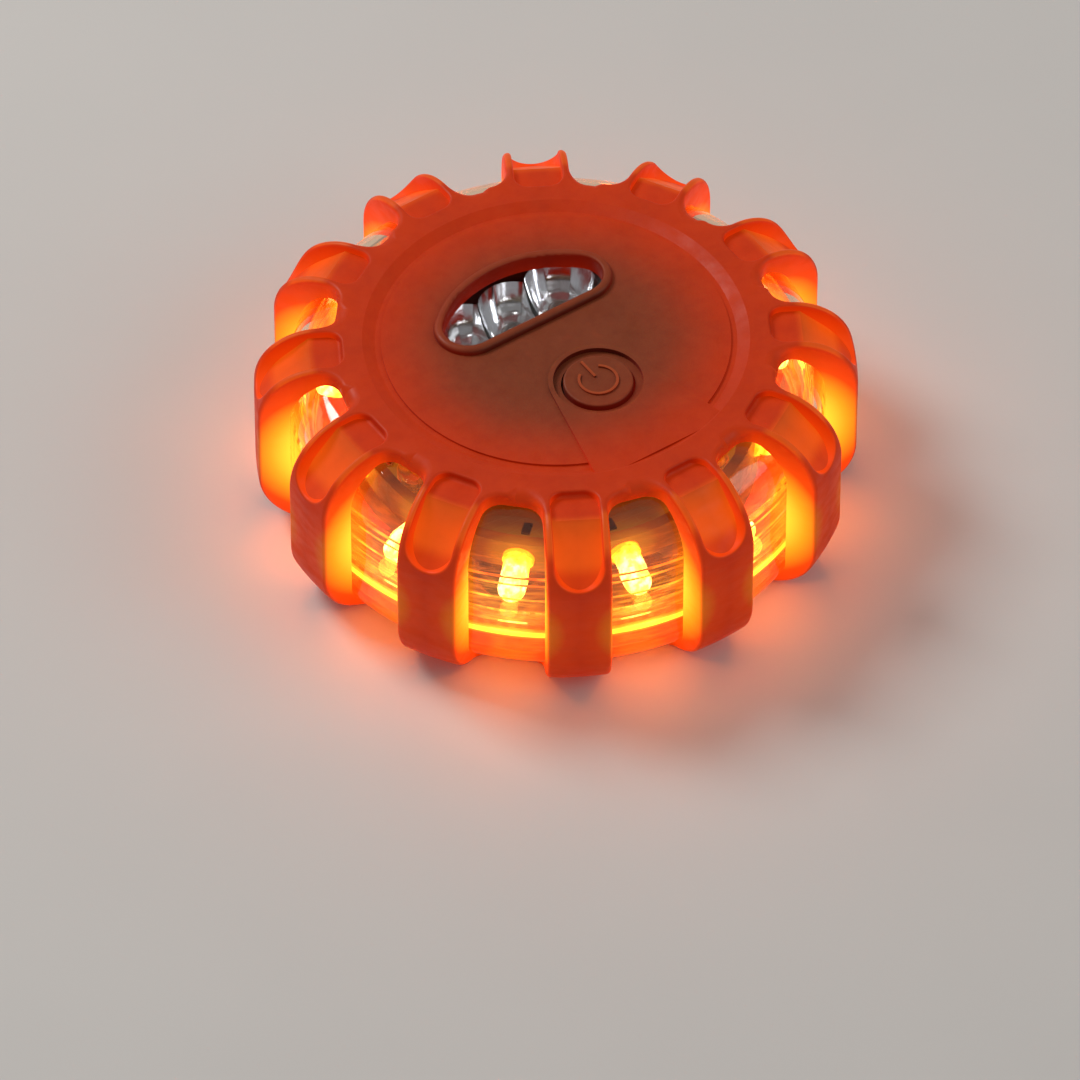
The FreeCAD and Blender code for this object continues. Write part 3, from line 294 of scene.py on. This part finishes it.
def rubber(name, mark=None):
    """Matt orange rubber, paler where it is handled, with painted shade in the middle of the top, on
    upright faces and on step walls, and a painted glow standing in for lamp light from inside.
    mark is the top of a raised sign, painted paler there as a highlight."""
    look = bpy.context.scene.flare_rubber
    dull = look.roughness
    f = Finish(name, Subsurface_Weight=0.12, Subsurface_Scale=0.004,
               Subsurface_Radius=(1.0, 0.25, 0.08), Specular_IOR_Level=0.20,
               Sheen_Weight=0.03, Sheen_Roughness=0.4)
    gap, out, z = f.lamp_gap()
    nx, ny, nz = f.axes(f.facing)
    x, y, _ = f.axes()
    outward = f.math("ADD", f.math("MULTIPLY", nx, x), f.math("MULTIPLY", ny, y))
    outward = f.math("DIVIDE", outward, out)

    # Painted shade: brown in the middle of the top, where less light falls, fading out towards the rim
    # that the lamps light; orange on the ring and the ribs.
    patch = f.math("MULTIPLY", f.math("SUBTRACT", f.noise(0.009, 4), 0.5), 0.10)
    painted_shade_fade = f.math("ADD", f.fade(out, 0.017, 0.0335), patch)
    colour = f.mix(painted_shade_fade, tuple(look.floor), tuple(look.skin))
    cloud = f.noise(0.0022, 5)
    colour = f.mix(f.fade(cloud, 0.35, 0.75, 0.0, 0.16), colour, tuple(look.skin), "MULTIPLY")

    # Bloom from handling, mostly on top.
    rubbed = f.noise(0.004, 6, f.stretch(1, 1, 2.5))
    handled = f.math("MULTIPLY", f.fade(rubbed, 0.56, 0.80, 0.0, 0.14), f.fade(nz, -0.2, 0.8, 0.35, 1.0))
    colour = f.mix(handled, colour, tuple(look.dust_and_sign_highlight))

    # Painted shade: upright faces are painted a deeper red, and the walls of the steps in the top darker,
    # where the light from above does not reach.
    colour = f.mix(f.fade(nz, 0.0, 0.7, 0.8, 0.0), colour, tuple(look.side), "MULTIPLY")
    inside = f.fade(out, RIB_R - 0.0165, RIB_R - 0.0155, 1.0, 0.0)
    step = f.math("MULTIPLY", f.fade(nz, 0.35, 0.90, 0.85, 0.0), inside)
    colour = f.mix(step, colour, tuple(look.painted_step_shade), "MULTIPLY")
    if mark:
        # Painted highlight: the top of the raised sign is painted paler.
        top = f.fade(z, mark - 0.0003, mark - 0.0001, 0.0, 0.55)
        colour = f.mix(top, colour, tuple(look.dust_and_sign_highlight))
    f.wear(Base_Color=colour, Roughness=f.fade(rubbed, 0.3, 0.75, dull - 0.1, dull + 0.14))

    # Painted glow standing in for lamp light inside the rubber, weaker on outer faces and on the ring than
    # in the windows.
    light = f.ramp(f.span(gap, 0.006, 0.036),
                   (0.00, (0.90, 0.92, 0.07)), (0.12, (0.86, 0.78, 0.04)),
                   (0.22, (0.88, 0.40, 0.012)), (0.34, (0.68, 0.055, 0.001)),
                   (0.53, (0.36, 0.014, 0.0)), (0.80, (0.10, 0.002, 0.0)), (1.00, BLACK))
    upward = f.fade(z, RING_TOP - 0.0060, RING_TOP - 0.0012, 1.25, 0.40)
    through = f.math("MULTIPLY", f.fade(outward, 0.30, 0.98, 1.0, 0.40), f.fade(nz, 0.3, 1.0, 1.0, upward))
    light = f.dim(light, through)

    # The scoops are thin, and a painted glow in them stands in for lamp light through them.
    hollow = f.math("MULTIPLY", f.fade(out, RIB_R - 0.0115, RIB_R - 0.0095),
                    f.fade(out, RIB_R - 0.0045, RIB_R - 0.0022, 1.0, 0.0))
    hollow = f.math("MULTIPLY", hollow, f.fade(f.math("ADD", nz, outward), 0.6, 1.0))
    hollow = f.math("MULTIPLY", hollow, f.fade(z, 0.014, 0.022))
    light = f.mix(hollow, light, tuple(look.hollow), "ADD")
    f.wear(Emission_Color=light, Emission_Strength=look.glow)

    grain = f.noise(look.grain, 2)
    pores = f.math("MULTIPLY", f.cells(look.grain * 2.6), 0.35)
    skin = f.math("ADD", grain, pores)
    f.relief(f.math("ADD", skin, f.math("MULTIPLY", cloud, 0.5)), look.depth)
    return f


def clear(name, colour, amount, rough):
    """Clear moulded plastic with flow lines, and a painted amber glow near the lamps standing in for light
    caught in it.
    """
    look = bpy.context.scene.flare_clear
    f = Finish(name, IOR=1.49, Transmission_Weight=1.0, Specular_IOR_Level=0.5)
    gap, out, z = f.lamp_gap()
    flow = f.noise(0.011, 3, f.stretch(1, 1, 5))
    amber = f.mix(f.fade(flow, 0.35, 0.7, 0.0, 0.25), tuple(colour), (1.0, 0.62, 0.30))
    f.wear(Base_Color=f.mix(f.fade(out, 0.028, 0.036), (0.97, 0.98, 1.0), amber))

    # Painted glow: the caught light is streaky, brightest along the split and weak at the top.
    light = f.ramp(f.span(gap, 0.003, 0.028),
                   (0.00, (0.90, 0.40, 0.03)), (0.25, (0.42, 0.09, 0.005)),
                   (0.60, (0.15, 0.016, 0.001)), (1.00, BLACK))
    streak = f.fade(f.noise(0.0016, 4, f.stretch(0.35, 0.35, 3)), 0.46, 0.66, 0.35, 1.6)
    seam = f.fade(f.math("ABSOLUTE", f.math("SUBTRACT", z, SPLIT)), 0.0, 0.0007, 4.0, 0.0)
    lines = f.math("MULTIPLY", f.math("ADD", streak, seam), f.fade(z, 0.026, 0.034, 1.0, 0.12))
    light = f.dim(light, f.math("MULTIPLY", lines, amount))
    f.wear(Emission_Color=light, Emission_Strength=look.glow)
    f.wear(Roughness=f.fade(f.noise(0.003, 4), 0.4, 0.75, rough, rough + 0.05))
    f.relief(f.noise(0.006, 2), 0.00004)
    return f


def moulded(name, colour, grain=0.0006, depth=0.00003, rough=0.42, lit=0.0):
    """Spark-textured moulded plastic. lit is the strength of the painted amber lamp light on it."""
    f = Finish(name, Specular_IOR_Level=0.5)
    pale = tuple(c * 2.2 + 0.01 for c in colour)
    f.wear(Base_Color=f.mix(f.fade(f.noise(0.005, 5), 0.3, 0.8, 0.0, 0.5), tuple(colour), pale))
    f.wear(Roughness=f.fade(f.noise(0.002, 4), 0.3, 0.75, rough - 0.1, rough + 0.16))
    f.relief(f.math("ADD", f.cells(grain), f.noise(grain * 0.6, 2)), depth)
    if lit:
        f.paint_lamp_light(lit)
    return f


def metal(name, colour, rough, marks=(1, 1, 1), size=0.0006, depth=0.000006):
    """Metal with fine marks. marks stretches them along an axis."""
    f = Finish(name, Metallic=1.0)
    lines = f.noise(size, 3, f.stretch(*marks))
    stain = f.noise(0.004, 5)
    dull = tuple(c * 0.72 for c in colour)
    f.wear(Base_Color=f.mix(f.fade(stain, 0.35, 0.75, 0.0, 0.6), tuple(colour), dull))
    f.wear(Roughness=f.math("ADD", f.fade(lines, 0.3, 0.7, rough - 0.06, rough + 0.1),
                            f.fade(stain, 0.5, 0.8, 0.0, 0.1)))
    f.relief(lines, depth)
    return f


def turned(name, colour, rough, pitch, depth=0.00001):
    """Metal turned or pressed about the upright axis."""
    f = metal(name, colour, rough)
    x, y, _ = f.axes()
    rings = f.math("SINE", f.math("MULTIPLY", f.size_of(x, y), 2 * math.pi / pitch))
    f.relief(f.math("ADD", rings, f.noise(0.0008, 3)), depth)
    return f


def mirror(name):
    """Chromed plastic, pressed into flutes round each cup."""
    cups_wide = 3.35    # width of the block of three cups, in steps from one cup to the next
    pitch = (CUP_HIGH.x - CUP_LOW.x) / cups_wide
    middle = (CUP_LOW.y + CUP_HIGH.y) / 2
    f = Finish(name, Metallic=1.0, Roughness=0.10)
    x, y, _ = f.axes()
    cup = f.math("MULTIPLY", f.math("ROUND", f.math("DIVIDE", x, pitch)), pitch)
    swing = f.math("ARCTAN2", f.math("SUBTRACT", y, middle), f.math("SUBTRACT", x, cup))
    flutes = f.math("ABSOLUTE", f.math("SINE", f.math("MULTIPLY", swing, 4.0)))
    # Painted shade: where the flutes meet, the chrome is painted darker.
    f.wear(Base_Color=f.mix(f.fade(flutes, 0.0, 0.2, 0.35, 0.0), (0.95, 0.96, 0.98), (0.42, 0.43, 0.45)))
    f.relief(f.math("ADD", flutes, f.math("MULTIPLY", f.noise(0.003, 3), 0.2)), 0.00010)
    return f


def lit_lamp(name):
    """A lit amber lamp: white-hot where the chip is, amber round it."""
    look = bpy.context.scene.flare_lamps
    f = Finish(name, Roughness=0.12, Base_Color=(1.0, 0.42, 0.03), IOR=1.5, Coat_Weight=0.6)
    gap = f.lamp_gap()[0]
    mottle = f.math("MULTIPLY", f.math("SUBTRACT", f.noise(0.0016, 3), 0.5), 0.006)
    light = f.ramp(f.fade(f.math("ADD", gap, mottle), 0.001, 0.0065),
                   (0.00, tuple(look.core)), (0.30, (1.0, 0.72, 0.10)),
                   (0.62, tuple(look.body)), (1.00, (0.75, 0.17, 0.006)))
    f.wear(Emission_Color=light, Emission_Strength=look.strength)
    f.relief(f.noise(0.0007, 2), 0.00001)
    return f


def white_lamp(name):
    """Clear resin of an unlit white lamp."""
    f = Finish(name, Roughness=0.03, IOR=1.5, Transmission_Weight=0.9)
    f.wear(Base_Color=f.mix(f.fade(f.noise(0.002), 0.4, 0.7, 0.0, 0.4),
                            (0.97, 0.97, 0.95), (0.90, 0.93, 0.96)))
    f.relief(f.noise(0.001, 2), 0.000006)
    return f


def phosphor(name):
    """Powdery yellow dot in a white lamp."""
    yellow = bpy.context.scene.flare_lamps.phosphor
    f = Finish(name, Roughness=0.55)
    f.wear(Base_Color=f.mix(f.fade(f.noise(0.0005, 4), 0.35, 0.7),
                            tuple(yellow), tuple(c * 0.7 for c in yellow)))
    f.relief(f.noise(0.0002, 2), 0.00001)
    return f


def laminate(name):
    """Solder mask over copper tracks, with painted lamp light at its edge."""
    look = bpy.context.scene.flare_inside
    f = Finish(name, Coat_Weight=0.25)
    tracks = f.add("TexBrick", {"Vector": f.at, "Color1": (1, 1, 1), "Color2": (1, 1, 1),
                                "Mortar": (0, 0, 0), "Scale": 140.0, "Mortar Size": 0.012,
                                "Brick Width": 0.9, "Row Height": 0.3}, offset=0.37)
    f.wear(Base_Color=f.mix(tracks, tuple(look.copper), tuple(look.laminate)))
    f.wear(Roughness=f.fade(f.noise(0.002), 0.3, 0.7, 0.28, 0.42))
    f.relief(f.math("ADD", f.noise(0.0005, 2), f.math("MULTIPLY", tracks, -1.5)), 0.00002)
    f.paint_lamp_light(0.45, 0.032)
    return f


def sleeve(name):
    """Printed sleeve of a cell with a band and scuffs, and its bare metal ends."""
    look = bpy.context.scene.flare_inside
    long = CELL_HIGH.x - CELL_LOW.x
    f = Finish(name, Metallic=0.75)
    far = f.math("ABSOLUTE", f.axes()[0])
    scuff = f.fade(f.noise(0.0015, 5, f.stretch(1, 4, 4)), 0.62, 0.7, 0.0, 0.5)
    colour = f.mix(f.fade(far, long * 0.40, long * 0.405), tuple(look.sleeve), tuple(look.collar))
    colour = f.mix(scuff, colour, (0.4, 0.4, 0.42))
    f.wear(Base_Color=f.mix(f.fade(far, long * 0.485, long * 0.487), colour, (0.70, 0.69, 0.66)))
    f.wear(Roughness=f.fade(f.noise(0.002, 4), 0.3, 0.7, 0.22, 0.42))
    f.relief(f.noise(0.002, 3), 0.00002)
    return f


def pale_floor(name):
    """Smooth matt studio floor."""
    pale = tuple(bpy.context.scene.flare_stage.floor)
    f = Finish(name, Roughness=0.55, Specular_IOR_Level=0.35)
    f.wear(Base_Color=f.mix(f.fade(f.noise(0.05, 4), 0.3, 0.7), pale, tuple(c * 0.985 for c in pale)))
    f.relief(f.noise(0.0006, 2), 0.00001)
    return f


def clean():
    """Object mode with nothing selected, ready for a new primitive."""
    if bpy.context.object and bpy.context.object.mode != "OBJECT":
        bpy.ops.object.mode_set(mode="OBJECT")
    bpy.ops.object.select_all(action="DESELECT")


def own(name):
    """The new object, named, with its place moved into its mesh."""
    piece = bpy.context.object
    piece.name = name
    piece.data.name = name
    bpy.ops.object.transform_apply(location=True, rotation=True, scale=True)
    return piece


def edit_all():
    """Edit mode with everything selected."""
    bpy.ops.object.mode_set(mode="EDIT")
    bpy.ops.mesh.select_all(action="SELECT")


def pick(piece, test):
    """Selects the faces that pass the test, in edit mode."""
    mesh = bmesh.from_edit_mesh(piece.data)
    bpy.ops.mesh.select_all(action="DESELECT")
    bpy.ops.mesh.select_mode(type="FACE")
    for face in mesh.faces:
        face.select_set(test(face))
    bmesh.update_edit_mesh(piece.data)


def done(piece, finish, angle):
    """Merges the mesh's doubles, smooths it, gives it its finish and lets it ride on the case."""
    edit_all()
    bpy.ops.mesh.remove_doubles(threshold=MERGE)
    bpy.ops.mesh.normals_make_consistent(inside=False)
    bpy.ops.object.mode_set(mode="OBJECT")
    bpy.ops.object.shade_smooth_by_angle(angle=math.radians(angle))
    piece.data.materials.clear()
    piece.data.materials.append(finish.material)
    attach(piece, BODY)


def repeat(piece, spots):
    """Copies of a piece, each with its own mesh, turned about Z and moved, joined into one."""
    copies = []
    for angle, place in spots:
        twin = piece.copy()
        twin.data = piece.data.copy()
        bpy.context.scene.collection.objects.link(twin)
        twin.rotation_euler = (0, 0, angle)
        twin.location = place
        copies.append(twin)
    clean()
    for twin in copies:
        twin.select_set(True)
    bpy.context.view_layer.objects.active = copies[0]
    bpy.ops.object.transform_apply(location=True, rotation=True, scale=True)
    bpy.ops.object.join()
    joined = bpy.context.object
    name = piece.name
    bpy.data.objects.remove(piece)
    joined.name = name
    joined.data.name = name
    return joined


def join(pieces, name):
    """Several pieces made one."""
    clean()
    for piece in pieces:
        piece.select_set(True)
    bpy.context.view_layer.objects.active = pieces[0]
    bpy.ops.object.join()
    pieces[0].name = name
    return pieces[0]


def ring_bead(radius, bead, z):
    """A fine three-sided bead round the upright axis."""
    clean()
    bpy.ops.mesh.primitive_circle_add(vertices=3, radius=bead, fill_type="NGON",
                                      location=(radius, 0, z), rotation=(math.pi / 2, 0, 0))
    ring = own("prism_ring")
    edit_all()
    bpy.ops.mesh.spin(steps=180, angle=2 * math.pi, center=(0, 0, z), axis=(0, 0, 1))
    bpy.ops.mesh.remove_doubles(threshold=MERGE)
    # Spin leaves the starting triangle inside the bead.
    mesh = bmesh.from_edit_mesh(ring.data)
    caps = [face for face in mesh.faces if len(face.edges) == 3]
    bmesh.ops.delete(mesh, geom=caps, context="FACES_ONLY")
    bmesh.update_edit_mesh(ring.data)
    bpy.ops.object.mode_set(mode="OBJECT")
    return ring


class FLARE_OT_jacket(bpy.types.Operator):
    """Rubber on the jacket and the button"""
    bl_idname = "flare.jacket"
    bl_label = "Rubber jacket"

    def execute(self, context):
        dress(rubber("jacket_rubber_finish"), "rubber_jacket")
        dress(rubber("button_rubber_finish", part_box("power_button")[1].z), "power_button")
        return {"FINISHED"}


class FLARE_OT_puck(bpy.types.Operator):
    """Clear plastic on the puck, its seals, and the prism rings inside its wall"""
    bl_idname = "flare.puck"
    bl_label = "Clear puck"

    def execute(self, context):
        look = context.scene.flare_clear
        dress(clear("lens_finish", look.lens, 0.55, 0.02), "lens_shell")
        dress(clear("base_finish", look.base, 0.6, 0.10), "base_shell")
        dress(moulded("seal_finish", (0.42, 0.16, 0.04), rough=0.5, lit=0.35), "case_seal")
        dress(moulded("door_seal_finish", (0.03, 0.03, 0.03), rough=0.6), "door_seal")
        heights = (LED_LOW + 0.0042, LED_HIGH + 0.0022, LED_HIGH + 0.0040)
        beads = [ring_bead(PUCK_IN - look.prism * 1.1, look.prism, z) for z in heights]
        done(join(beads, "prism_rings"), clear("prism_finish", look.lens, 1.0, 0.03), 20)
        return {"FINISHED"}


class FLARE_OT_lamps(bpy.types.Operator):
    """Amber lamps, their leads and carrier, and the solder on the board"""
    bl_idname = "flare.lamps"
    bl_label = "Amber lamps"

    def execute(self, context):
        blob = context.scene.flare_lamps.solder
        dress(lit_lamp("amber_lamp_finish"), "amber_leds")
        dress(metal("tinned_lead_finish", (0.74, 0.73, 0.70), 0.3),
              "amber_led_leads", "white_led_leads", "chip_pins")
        dress(moulded("carrier_finish", (0.03, 0.024, 0.022), lit=0.7), "led_carrier")
        clean()
        bpy.ops.mesh.primitive_uv_sphere_add(segments=14, ring_count=8, radius=blob, location=(0, 0, 0))
        joint = own("solder_joints")
        edit_all()
        bpy.ops.mesh.bisect(plane_co=(0, 0, 0), plane_no=(0, 0, 1), clear_inner=True, use_fill=True)
        edit_all()
        bpy.ops.transform.resize(value=(1.15, 0.8, 0.95))
        pick(joint, lambda face: face.normal.z < -0.9)
        bpy.ops.mesh.inset(thickness=blob * 0.1)
        bpy.ops.object.mode_set(mode="OBJECT")
        spots = []
        for lamp in range(LAMPS):
            angle = FIRST_LAMP + LAMP_STEP * lamp
            for side in (-1, 1):
                place = Vector((LEAD_IN + blob * 0.7, side * LEAD_HALF, BOARD_TOP))
                place.rotate(Euler((0, 0, angle)))
                spots.append((angle, place))
        joint = repeat(joint, spots)
        solder = metal("solder_finish", (0.70, 0.70, 0.68), 0.22, size=0.0004)
        done(joint, solder, 60)
        return {"FINISHED"}


class FLARE_OT_torch(bpy.types.Operator):
    """Chromed cups and the white lamps in them"""
    bl_idname = "flare.torch"
    bl_label = "Torch lamp"

    def execute(self, context):
        dress(mirror("mirror_finish"), "reflector")
        dress(white_lamp("white_lamp_finish"), "white_leds")
        size = WHITE_HIGH - WHITE_LOW
        wide = size.y * 0.24
        clean()
        bpy.ops.mesh.primitive_cylinder_add(vertices=24, radius=wide, depth=wide * 0.5, location=(0, 0, 0))
        dot = own("phosphor_dots")
        bpy.ops.object.mode_set(mode="EDIT")
        pick(dot, lambda face: face.normal.z > 0.9)
        bpy.ops.mesh.inset(thickness=wide * 0.22)
        bpy.ops.transform.translate(value=(0, 0, -wide * 0.3))
        bpy.ops.mesh.inset(thickness=wide * 0.2)
        bpy.ops.transform.translate(value=(0, 0, wide * 0.18))
        bpy.ops.object.mode_set(mode="OBJECT")
        middle = (WHITE_HIGH + WHITE_LOW) / 2
        pitch = (size.x - size.y) / 2
        z = WHITE_LOW.z + size.z * 0.42
        dot = repeat(dot, [(0, (middle.x + k * pitch, middle.y, z)) for k in (-1, 0, 1)])
        done(dot, phosphor("phosphor_finish"), 30)
        return {"FINISHED"}


class FLARE_OT_board(bpy.types.Operator):
    """Circuit board and what stands on it"""
    bl_idname = "flare.board"
    bl_label = "Circuit board"

    def execute(self, context):
        dress(laminate("laminate_finish"), "main_board")
        dress(moulded("chip_finish", (0.02, 0.02, 0.02), 0.0003, 0.00001, 0.5), "controller_chip")
        dress(moulded("resistor_finish", (0.05, 0.05, 0.055), 0.0003, 0.00001, 0.35), "resistors")
        dress(turned("can_finish", (0.66, 0.67, 0.69), 0.28, 0.0006), "capacitor")
        dress(moulded("switch_finish", (0.03, 0.03, 0.032), 0.0004, 0.00001, 0.45), "tact_switch")
        dress(moulded("stem_finish", (0.62, 0.60, 0.54), 0.0005, 0.00001, 0.45),
              "switch_stem", "button_plunger")
        return {"FINISHED"}


class FLARE_OT_power(bpy.types.Operator):
    """Tray, cells and their contacts"""
    bl_idname = "flare.power"
    bl_label = "Batteries"

    def execute(self, context):
        dress(sleeve("cell_finish"), "battery_cells")
        dress(moulded("tray_finish", context.scene.flare_inside.plastic), "battery_tray")
        dress(metal("contact_finish", (0.74, 0.70, 0.60), 0.3, (1, 1, 6)),
              "contact_plates", "contact_springs")
        return {"FINISHED"}


class FLARE_OT_underside(bpy.types.Operator):
    """Door, magnet, hook and screws underneath"""
    bl_idname = "flare.underside"
    bl_label = "Underside"

    def execute(self, context):
        plastic = context.scene.flare_inside.plastic
        dress(moulded("door_finish", plastic, 0.0008, 0.00005, 0.48), "battery_door")
        dress(metal("screw_finish", (0.62, 0.62, 0.64), 0.28, size=0.0008),
              "case_screws", "door_screws", "board_screws", "hook_pin")
        dress(turned("magnet_finish", (0.66, 0.66, 0.67), 0.22, 0.0007), "magnet")
        dress(metal("hook_finish", (0.64, 0.64, 0.65), 0.26, (8, 1, 8), 0.0016, 0.00001), "hook")
        return {"FINISHED"}


def put_light(lamp, name, place, power, colour):
    """Puts a light in the scene, and gives back its object."""
    lamp.energy = power
    lamp.color = colour
    light = bpy.data.objects.new(name, lamp)
    bpy.context.scene.collection.objects.link(light)
    light.location = place
    return light


def soft_light(name, place, power, size):
    """A large soft square light aimed at the flare."""
    lamp = bpy.data.lights.new(name, "AREA")
    lamp.size = size
    light = put_light(lamp, name, place, power, WARM_WHITE)
    light.rotation_euler = (-Vector(place)).to_track_quat("-Z", "Y").to_euler()


def spill_light(angle, power):
    """A small amber light outside a window, for the glow on the floor."""
    lamp = bpy.data.lights.new("spill_light", "POINT")
    lamp.shadow_soft_size = 0.002
    out = PUCK_R + 0.0025
    place = (math.cos(angle) * out, math.sin(angle) * out, LED_LOW)
    put_light(lamp, "spill_light", place, power, (1.0, 0.14, 0.012))


class FLARE_OT_stage(bpy.types.Operator):
    """Pale floor, soft light and camera"""
    bl_idname = "flare.stage"
    bl_label = "Studio"

    def execute(self, context):
        look = context.scene.flare_stage
        clean()
        bpy.ops.mesh.primitive_circle_add(vertices=96, radius=4.0, fill_type="NGON", location=(0, 0, 0))
        floor = own("studio_floor")
        edit_all()
        bpy.ops.mesh.inset(thickness=3.0)
        bpy.ops.object.mode_set(mode="OBJECT")
        floor.data.materials.append(pale_floor("floor_finish").material)

        world = bpy.data.worlds.new("studio_room")
        world.use_nodes = True
        back = world.node_tree.nodes["Background"]
        back.inputs["Color"].default_value = (*WARM_WHITE, 1.0)
        back.inputs["Strength"].default_value = look.sky
        context.scene.world = world
        context.scene.view_settings.view_transform = "Standard"
        soft_light("key_light", (-0.35, 0.80, 0.95), look.key, 0.45)
        soft_light("fill_light", (0.65, -0.75, 0.70), look.fill, 0.7)
        for lamp in range(LAMPS):
            spill_light(FIRST_LAMP + LAMP_STEP * lamp, look.spill)

        back_way = Vector((math.sin(look.turn) * math.cos(look.tilt),
                           -math.cos(look.turn) * math.cos(look.tilt), math.sin(look.tilt)))
        view = bpy.data.cameras.new("studio_camera")
        view.lens = look.lens
        view.sensor_width = 36.0
        view.clip_end = 50.0
        camera = bpy.data.objects.new("studio_camera", view)
        context.scene.collection.objects.link(camera)
        camera.location = Vector(look.aim) + back_way * look.away
        camera.rotation_euler = (-back_way).to_track_quat("-Z", "Y").to_euler()
        context.scene.camera = camera
        return {"FINISHED"}


GROUPS = {"flare_rubber": FlareRubber, "flare_clear": FlareClear, "flare_lamps": FlareLamps,
          "flare_inside": FlareInside, "flare_stage": FlareStage}
STEPS = (FLARE_OT_jacket, FLARE_OT_puck, FLARE_OT_lamps, FLARE_OT_torch, FLARE_OT_board,
         FLARE_OT_power, FLARE_OT_underside, FLARE_OT_stage)


class FLARE_PT_parts(bpy.types.Panel):
    """Sizes, colours and the steps that make each piece"""
    bl_label = "Safety flare"
    bl_idname = "FLARE_PT_parts"
    bl_space_type = "VIEW_3D"
    bl_region_type = "UI"
    bl_category = "Flare"

    def draw(self, context):
        for name, group in GROUPS.items():
            box = self.layout.box()
            box.label(text=group.__doc__)
            for field in group.__annotations__:
                box.prop(getattr(context.scene, name), field)
        for step in STEPS:
            self.layout.operator(step.bl_idname)


def register():
    for group in GROUPS.values():
        bpy.utils.register_class(group)
    for name, group in GROUPS.items():
        setattr(bpy.types.Scene, name, bpy.props.PointerProperty(type=group))
    for step in STEPS:
        bpy.utils.register_class(step)
    bpy.utils.register_class(FLARE_PT_parts)


def unregister():
    bpy.utils.unregister_class(FLARE_PT_parts)
    for step in reversed(STEPS):
        bpy.utils.unregister_class(step)
    for name, group in reversed(GROUPS.items()):
        delattr(bpy.types.Scene, name)
        bpy.utils.unregister_class(group)


def main():
    register()
    bpy.ops.flare.jacket()
    bpy.ops.flare.puck()
    bpy.ops.flare.lamps()
    bpy.ops.flare.torch()
    bpy.ops.flare.board()
    bpy.ops.flare.power()
    bpy.ops.flare.underside()
    bpy.ops.flare.stage()


if __name__ == "__main__":
    main()
